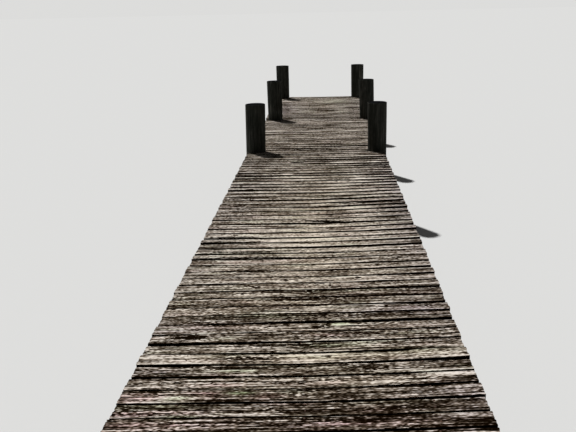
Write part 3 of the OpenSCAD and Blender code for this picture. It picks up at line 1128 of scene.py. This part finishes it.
def deck_bay(bay):
    """The boards of one bay, as one piece, and their nails."""
    timbers, boards, tones, tints = [], [], [], []
    for n, board in enumerate(DECK):
        if board.bay != bay:
            continue
        rng = np.random.default_rng(SEEDS["boards"] + n)
        size = (board.length, board.width, board.thick)
        # Further out the boards are more decayed, with wider painted shade and a stronger painted highlight
        # along their edges
        decay = 1 + FAR_DECAY * far_share(board.middle[1])
        shape = (board.sides(), board.ends, board.tips(), board_marks(n, board), decay)
        timber = Timber(BOARD_RING, BOARD_STYLE, size, rng, *shape)
        x, y = timber.x + board.middle[0], timber.y + board.middle[1]
        timbers.append(timber)
        boards.append(board)
        tones.append(board_tone(n, board.middle[1], rng) + zone_sum(WORN, x, y))
        tints.append(board_tint(x, y))
    placings = [board.placing for board in boards]
    looks = (tones, tints, [BOARD_FACE, BOARD_END], 2, deck_lift)
    dress(join_timbers(f"deck_boards_{bay}", timbers, placings, *looks), "deck_boards", f"deck_bay_{bay}")
    nail_heads(bay, boards, timbers)


DECK = read_deck()


# Frame

def plank(node, ring, along, face, seed, lift=None):
    """A plank that fills a CAD node's box. Along and face are the ways its length and its face point."""
    low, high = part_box(node)
    axis_x, axis_z = Vector(along), Vector(face)
    axis_y = axis_z.cross(axis_x)
    size = tuple(abs((high - low).dot(axis)) for axis in (axis_x, axis_y, axis_z))
    placing = Matrix((axis_x, axis_y, axis_z)).transposed().to_4x4()
    placing.translation = (low + high) / 2
    rng = np.random.default_rng(seed)
    timber = Timber(ring, PLANK_STYLE, size, rng)
    looks = ([rng.normal(0, 0.05)], [0.0], [FRAME_FACE, FRAME_END], 1, lift)
    dress(join_timbers(f"{node}_plank", [timber], [placing], *looks), "frame_timber", node)


# Piles

# How much thicker some piles are than the frame's, and how far they stand towards +X of it
SWELL = {("left", 4): (0.004, 0.005), ("left", 6): (0.005, 0.004), ("right", 6): (0.004, 0.0)}
SWELL_BELOW_DECK = 0.3
# Points round a pile, levels up it and rings in its top
PILE_AROUND, PILE_LEVELS, PILE_TOP_RINGS = 72, 26, 9
# How far its lobes and ridges stand out
PILE_LOBES, PILE_RIDGES = 0.0022, 0.0008
# How many long cracks it has, how deep they are, and half their width
PILE_CHECKS, CHECK_DEPTH, CHECK_HALF = 9, 0.011, 0.0028
# Half the height of a seat's shoulder, and the least distance from it to the next column
SEAT_EDGE, SEAT_CLEAR = 0.0006, 0.008
# Depths below the top of the last columns, and how far in they lie
RIM = ((0.008, 0.0), (0.002, 0.0008), (0.0, 0.003))


class PileTimber:
    """The timber of a pile: rows of points run up it, columns cross them, and rings close its top."""

    def __init__(self, pile):
        self.pile = pile
        self.rng = np.random.default_rng(SEEDS["piles"] + 10 * pile.bent + (pile.side == "right"))
        self.seed = int(self.rng.integers(1, 1 << 20))
        self.find_seats()
        self.shape_side()
        self.open_checks()
        self.place_side()
        self.close_top()

    def find_seats(self):
        """Where the cross beams and the stringers cross the pile."""
        pile = self.pile
        inner, outer = beam_boxes(pile.bent)
        bays = [bay for bay in (pile.bent - 1, pile.bent) if 1 <= bay <= BAYS]
        boxes = [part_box(f"stringer_{pile.side}_{bay}") for bay in bays]
        self.beam_z, self.beam_y = (inner[0].z, inner[1].z), (inner[1].y, outer[0].y)
        self.stringer_z = (boxes[0][0].z, boxes[0][1].z)
        self.stringer_x = max(abs(corner.x) for box in boxes for corner in box) + PASS_CLEARANCE

    def levels(self):
        """Heights of the columns, in pairs at the shoulders of the seats."""
        shoulders = np.array([*self.beam_z, *self.stringer_z])
        levels = {*np.linspace(0, self.pile.top - 0.012, PILE_LEVELS)}
        levels |= {*(shoulders - SEAT_EDGE), *(shoulders + SEAT_EDGE)}
        away = {z: np.abs(shoulders - z).min() for z in levels if 0 <= z < self.pile.top - RIM[0][0]}
        return np.array(sorted(z for z, gap in away.items() if gap < 2 * SEAT_EDGE or gap > SEAT_CLEAR))

    def shape_side(self):
        """Angles and radii of a trunk that is a little lobed and ridged."""
        pile, seed = self.pile, self.seed
        levels, (depths, insets) = self.levels(), np.array(RIM).T
        heights = self.heights = np.concatenate([levels, pile.top - depths])
        inset = np.concatenate([np.zeros(len(levels)), insets])
        turn = self.turn = np.linspace(0, 2 * math.pi, PILE_AROUND, endpoint=False)
        self.angle = turn[:, None] + 0.02 * noise(turn[:, None] * 1.3, heights / 0.3, seed)
        lobes = PILE_LOBES * noise(np.cos(turn) * 1.6 + seed % 31, np.sin(turn) * 1.6, seed)[:, None]
        ridges = PILE_RIDGES * noise(np.arange(PILE_AROUND)[:, None] * 0.9, heights / 0.35, seed + 1)
        swell, aside = SWELL.get((pile.side, pile.bent), (0.0, 0.0))
        swelling = smooth(heights, DECK_TOP - SWELL_BELOW_DECK, DECK_TOP)
        self.centre = np.array([pile.axis(h) for h in heights])
        self.centre[:, 0] += aside * swelling
        self.radius = pile.radius(heights) + swell * swelling - inset + lobes + ridges - 0.001
        self.relief = np.clip(0.5 + ridges / (2 * PILE_RIDGES), 0, 1)
        self.split = np.zeros(self.angle.shape)

    def open_checks(self):
        """Opens the long cracks that drying leaves: a row sinks, and the rows beside it are its lips. Painted
        shade darkens them.
        """
        rng, angle, split = self.rng, self.angle, self.split
        self.checks = []
        for row in rng.permutation(PILE_AROUND // 4)[:PILE_CHECKS] * 4 + 1:
            middle, span = rng.uniform(0.4, 1.1) * self.pile.top, rng.uniform(0.35, 1.3)
            size = rng.uniform(0.4, 1.0)
            open_share = np.clip(1 - (2 * (self.heights - middle) / span) ** 2, 0, 1) ** 0.6
            self.radius[row] -= size * CHECK_DEPTH * open_share
            for step in (-1, 1):
                lip = angle[row] + step * size * CHECK_HALF / self.pile.top_radius
                angle[row + step] = angle[row + step] * (1 - open_share) + lip * open_share
                split[row + step] = np.maximum(split[row + step], 0.35 * open_share)
            split[row] = np.maximum(split[row], open_share)
            self.checks.append((row, size, open_share[-1]))

    def place_side(self):
        """Puts the side's points in place, and cuts the seats."""
        x = self.centre[:, 0] + self.radius * np.cos(self.angle)
        y = self.centre[:, 1] + self.radius * np.sin(self.angle)
        z = np.broadcast_to(self.heights, x.shape)
        in_beam, in_pass = ((z > low) & (z < high) for low, high in (self.beam_z, self.stringer_z))
        y = np.where(in_beam, np.clip(y, *self.beam_y), y)
        cut = np.minimum(x, -self.stringer_x) if self.pile.side == "left" else np.maximum(x, self.stringer_x)
        x = np.where(in_pass, cut, x)
        columns = len(self.heights)
        self.rim = np.stack([x[:, -1], y[:, -1]], -1)
        self.points = [np.stack([x, y, z], -1).reshape(-1, 3)]
        self.states = [np.stack([self.relief, self.split, z / self.pile.top], -1).reshape(-1, 3)]
        rows = [i * columns for i in range(PILE_AROUND)]
        self.faces = [
            (there + c, there + c + 1, here + c + 1, here + c)
            for here, there in zip(rows, rows[1:] + rows[:1]) for c in range(columns - 1)
        ]
        self.side_faces = len(self.faces)

    def close_top(self):
        """The top: rings from the rim in to the pith, with the checks running in as radial cracks, which
        painted shade darkens.
        """
        pile, rng = self.pile, self.rng
        columns = len(self.heights)
        tilt = rng.normal(0, 0.012, 2) if pile.top > DECK_TOP else (0.0, 0.0)
        self.pith = pile.axis(pile.top) + rng.normal(0, 0.008, 2)
        last = [i * columns + columns - 1 for i in range(PILE_AROUND)]
        for k in range(1, PILE_TOP_RINGS + 1):
            share = 1 - k / (PILE_TOP_RINGS + 1)
            flat = (self.rim - self.pith) * share
            rise = 0.0012 * noise(self.turn * 3 + k, k * 0.9, self.seed + 5) + 0.0015 * (1 - share)
            crack = np.zeros(PILE_AROUND)
            for row, size, open_top in self.checks:
                inward = np.clip((share - 0.15) / 0.6, 0, 1) * open_top * size
                crack[row] = np.clip(1.6 * inward, 0, 1)
                rise[row] -= 0.009 * inward
            level = np.minimum(pile.top + rise + flat @ np.asarray(tilt) - 0.002, pile.top + 0.004)
            self.points.append(np.column_stack([self.pith + flat, level]))
            self.states.append(np.column_stack([np.full(PILE_AROUND, 0.5), crack, np.ones(PILE_AROUND)]))
            ring = list(range(PILE_AROUND * (columns + k - 1), PILE_AROUND * (columns + k)))
            self.faces += band(last, ring)
            last = ring
        self.faces += [last, [i * columns for i in reversed(range(PILE_AROUND))]]

    def finish(self):
        """Makes the piece."""
        pile, points = self.pile, np.concatenate(self.points)
        wood = points - np.array([*self.pith, 0.0])
        wood[:, 2] += 3.7 * (pile.bent + BENTS * (pile.side == "right"))
        attributes = {"wood": wood, "state": np.concatenate(self.states)}
        index = [0] * self.side_faces + [1] * (len(self.faces) - self.side_faces)
        looks = (index, [PILE_FACE, PILE_TOP], attributes)
        dress(mesh_piece(f"{pile.name}_timber", points, self.faces, *looks), "pile_timber", pile.name)


# Bolts: each part by the radius and height of its rings, and how far the two bolts of a pile stand
# from the middle of the beams, up or down and aside

WASHER = ((0.026, 0.0), (0.026, 0.0022), (0.0248, 0.0030))
NUT = ((0.0175, 0.0030), (0.0175, 0.0140), (0.0153, 0.0160))
BOLT_TIP = ((0.010, 0.0160), (0.010, 0.0250), (0.008, 0.0270))
BOLT_RISE = 0.045
BOLT_ASIDE = 0.022


def bolts(bent):
    """Two bolts through each pile of a bent and the beams that clasp it."""
    points, faces = [], []
    rng = np.random.default_rng(SEEDS["bolts"] + bent)
    inner, outer = beam_boxes(bent)
    middle_z = (inner[0].z + inner[1].z) / 2
    for side in PILE_SIDES:
        for way in (-1, 1):
            x = PILES[side, bent].axis(middle_z)[0] + way * BOLT_ASIDE
            z = middle_z + way * BOLT_RISE
            for y, out in ((inner[0].y, -1), (outer[1].y, 1)):
                parts = [turned_stack(WASHER, 20), turned_stack(NUT, 6, rng.uniform(0, math.pi / 3))]
                if out > 0:
                    parts.append(turned_stack(BOLT_TIP, 14))
                for part_points, part_faces in parts:
                    placed = [(x + across, y + out * height, z + up) for across, up, height in part_points]
                    add_part(points, faces, placed, [face[::-out] for face in part_faces])
    dress(mesh_piece(f"bolts_bent_{bent}", points, faces, [0] * len(faces), [BOLT_STEEL], {}), None)


# The object

for bay in range(1, BAYS + 1):
    deck_bay(bay)
    for k, side in enumerate(SIDES):
        outward = (-1 if side == "left" else 1, 0, 0)
        seed = SEEDS["stringers"] + 10 * bay + k
        plank(f"stringer_{side}_{bay}", STRINGER_RING, (0, 1, 0), outward, seed, stringer_lift)
for bent in range(1, BENTS + 1):
    for k, face in enumerate(FACES):
        outward = (0, -1 if face == "inner" else 1, 0)
        plank(f"cross_beam_{face}_{bent}", BEAM_RING, (1, 0, 0), outward, SEEDS["beams"] + 10 * bent + k)
    bolts(bent)
for pile in PILES.values():
    PileTimber(pile).finish()


# Stage

def plain_floor():
    """A pale floor that keeps the object's shadow."""
    s = Shader("floor", 1.0, 0.0)
    s.surface.inputs["Base Color"].default_value = (*PALE, 1.0)
    corners = [(x * FLOOR_SIZE / 2, y * FLOOR_SIZE / 2, 0) for x, y in ((-1, -1), (1, -1), (1, 1), (-1, 1))]
    mesh = bpy.data.meshes.new("floor")
    mesh.from_pydata(corners, [], [(0, 1, 2, 3)])
    mesh.materials.append(s.material)
    new_object("floor", mesh)


def key_light():
    """One soft key light from beyond the head, on the left."""
    light = bpy.data.lights.new("key", "SUN")
    light.energy, light.angle = KEY_STRENGTH, KEY_SOFTNESS
    lamp = new_object("key", light)
    lamp.rotation_mode = "QUATERNION"
    lamp.rotation_quaternion = Vector(LIGHT_RUN).to_track_quat("-Z", "Y")


def pale_world():
    """Even fill light, behind which the background shows pale."""
    world = bpy.data.worlds.new("studio")
    world.use_nodes = True
    bpy.context.scene.world = world
    world.node_tree.nodes.clear()
    n = Nodes(world.node_tree)
    rays = n.node("LightPath", {}).outputs
    seen = n.math("MAXIMUM", rays["Is Camera Ray"], rays["Is Glossy Ray"])
    seen = n.math("MAXIMUM", seen, rays["Is Transmission Ray"])
    fill = n.add("Background", {"Color": (1, 1, 1, 1), "Strength": FILL_LEVEL})
    shown = n.add("Background", {"Color": (*PALE, 1), "Strength": 1.0})
    n.node("OutputWorld", {"Surface": n.add("MixShader", {0: seen, 1: fill, 2: shown})})


def photo_camera():
    """The photograph's camera."""
    data = bpy.data.cameras.new("camera")
    data.sensor_width = SENSOR_MM
    data.lens = FOCAL_PX / IMAGE_W * SENSOR_MM
    data.shift_x = (IMAGE_CENTRE_X - AXIS_PX) / IMAGE_W
    data.clip_end = 2 * FLOOR_SIZE
    camera = new_object("camera", data)
    place = Matrix.Translation((EYE_ASIDE, cad_high.y - HEAD_DISTANCE, DECK_TOP + EYE_HEIGHT))
    yaw, roll = (Matrix.Rotation(angle, 4, "Z") for angle in (YAW, ROLL))
    camera.matrix_world = place @ yaw @ Matrix.Rotation(math.pi / 2 - PITCH, 4, "X") @ roll
    bpy.context.scene.camera = camera


plain_floor()
key_light()
pale_world()
photo_camera()
bpy.context.scene.view_settings.view_transform = "Standard"
